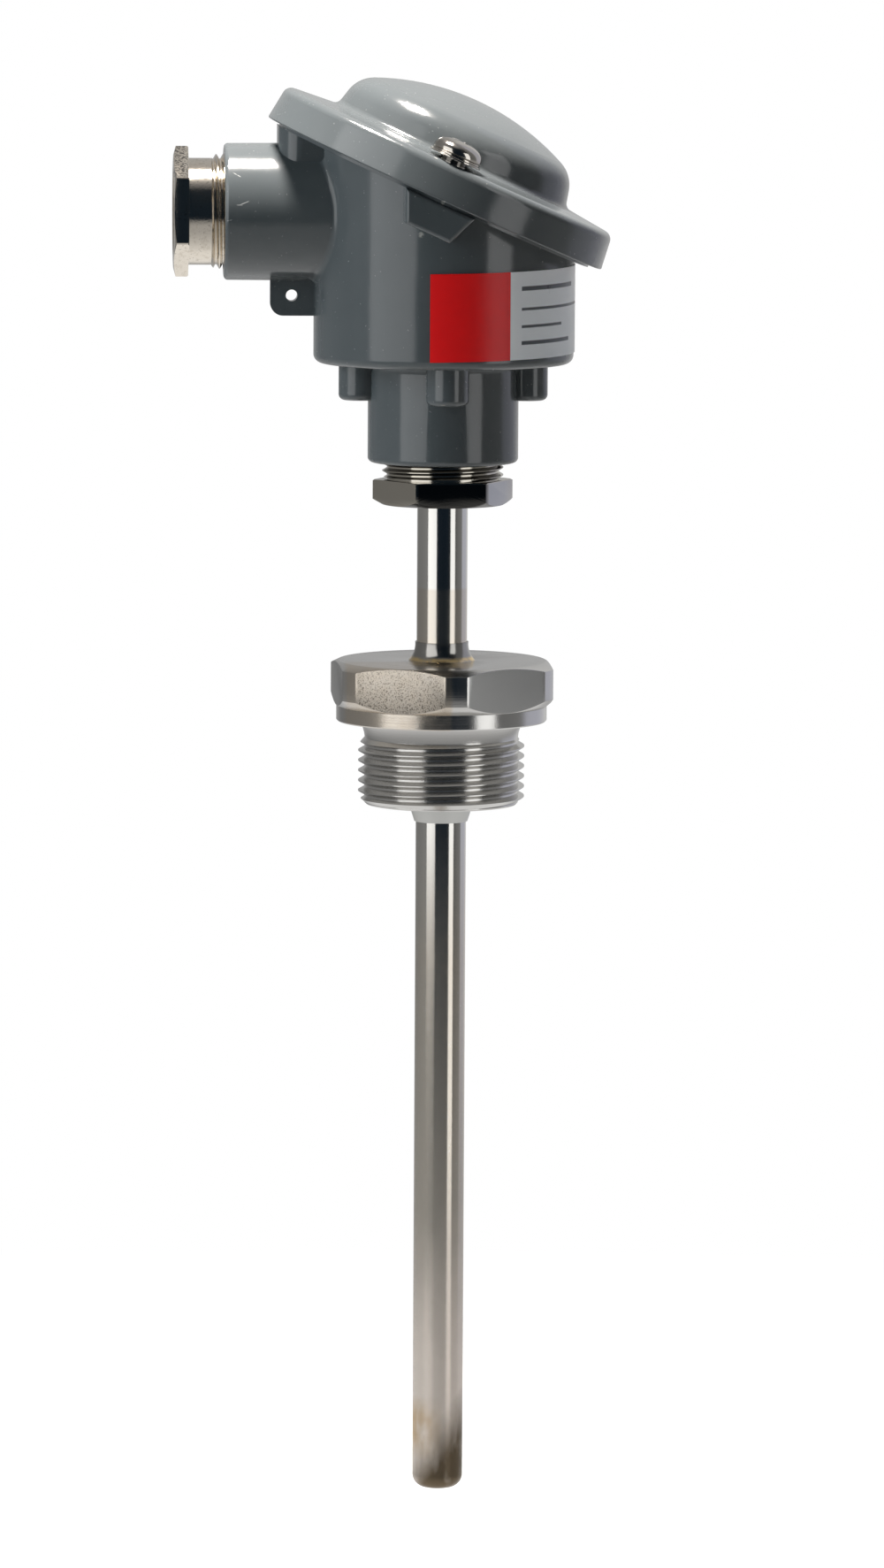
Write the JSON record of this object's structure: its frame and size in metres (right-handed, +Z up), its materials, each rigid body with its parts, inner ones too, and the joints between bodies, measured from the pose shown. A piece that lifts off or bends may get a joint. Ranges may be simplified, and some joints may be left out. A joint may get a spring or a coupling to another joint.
{
  "type": "resistance thermometer with cable head",
  "caption": "Temperature sensor with a grey die-cast cable head, a screwed process connection and a steel protection tube",
  "frame": {"origin": "centre of the collar's sealing face on the process connection", "axes": "+Z up the tube to the head, -X out of the cable entry, +Y away from the viewer"},
  "size_m": [0.0862, 0.0722, 0.2816],
  "materials": {
    "grey_paint": "semi-gloss",
    "tube_steel": "polished",
    "connection_steel": "turned",
    "weld_steel": "satin",
    "bright_steel": "bright",
    "plated_brass": "nickel plated",
    "terminal_brass": "satin",
    "black_rubber": "matte",
    "white_ceramic": "glazed",
    "mineral_powder": "pressed powder",
    "label_film": "printed film",
    "red_sleeve": "smooth",
    "white_sleeve": "smooth"
  },
  "bodies": {
    "sensor_body": {"protection_tube": "tube_steel", "tube_end_plug": "tube_steel", "process_connection": "connection_steel", "upper_weld_bead": "weld_steel", "lower_weld_bead": "weld_steel", "head_nipple": "connection_steel", "head_housing": "grey_paint", "cable_washer_inner": "bright_steel", "cable_washer_outer": "bright_steel", "cable_seal_ring": "black_rubber", "type_label": "label_film", "insert_fixing_screws": "bright_steel", "insert_spring_front": "bright_steel", "insert_spring_rear": "bright_steel"},
    "lid": {"head_lid": "grey_paint", "lid_gasket": "black_rubber", "lid_washer_front": "bright_steel", "lid_washer_rear": "bright_steel"},
    "front_lid_screw": {"lid_screw_front": "bright_steel"},
    "rear_lid_screw": {"lid_screw_rear": "bright_steel"},
    "pressure_screw": {"cable_pressure_screw": "plated_brass"},
    "measuring_insert": {"insert_sheath": "tube_steel", "mineral_fill": "mineral_powder", "rtd_element": "white_ceramic", "insert_conductors": "plated_brass", "insert_flange_plate": "bright_steel", "insert_collar": "tube_steel", "terminal_block": "white_ceramic", "terminal_clamps": "terminal_brass", "terminal_screws": "terminal_brass", "lead_wires_red": "red_sleeve", "lead_wires_white": "white_sleeve"}
  },
  "joints": [
    {"name": "lid_lift", "type": "slide", "parent": "sensor_body", "child": "lid", "axis": [0.4115, 0, 0.9114], "range_m": [0, 0.04]},
    {"name": "front_lid_screw_turn", "type": "hinge", "parent": "lid", "child": "front_lid_screw", "pos_m": [0.00047, -0.0295, 0.11233], "axis": [0.4115, 0, 0.9114], "continuous": true},
    {"name": "rear_lid_screw_turn", "type": "hinge", "parent": "lid", "child": "rear_lid_screw", "pos_m": [0.00047, 0.0295, 0.11233], "axis": [0.4115, 0, 0.9114], "continuous": true},
    {"name": "pressure_screw_turn", "type": "hinge", "parent": "sensor_body", "child": "pressure_screw", "pos_m": [-0.045, 0, 0.1007], "axis": [-1, 0, 0], "continuous": true},
    {"name": "insert_travel", "type": "slide", "parent": "sensor_body", "child": "measuring_insert", "axis": [0, 0, 1], "range_m": [0, 0.004], "stiffness_N_per_m": 3000, "springref_m": -0.003, "deforming": ["insert_spring_front", "insert_spring_rear"]}
  ]
}
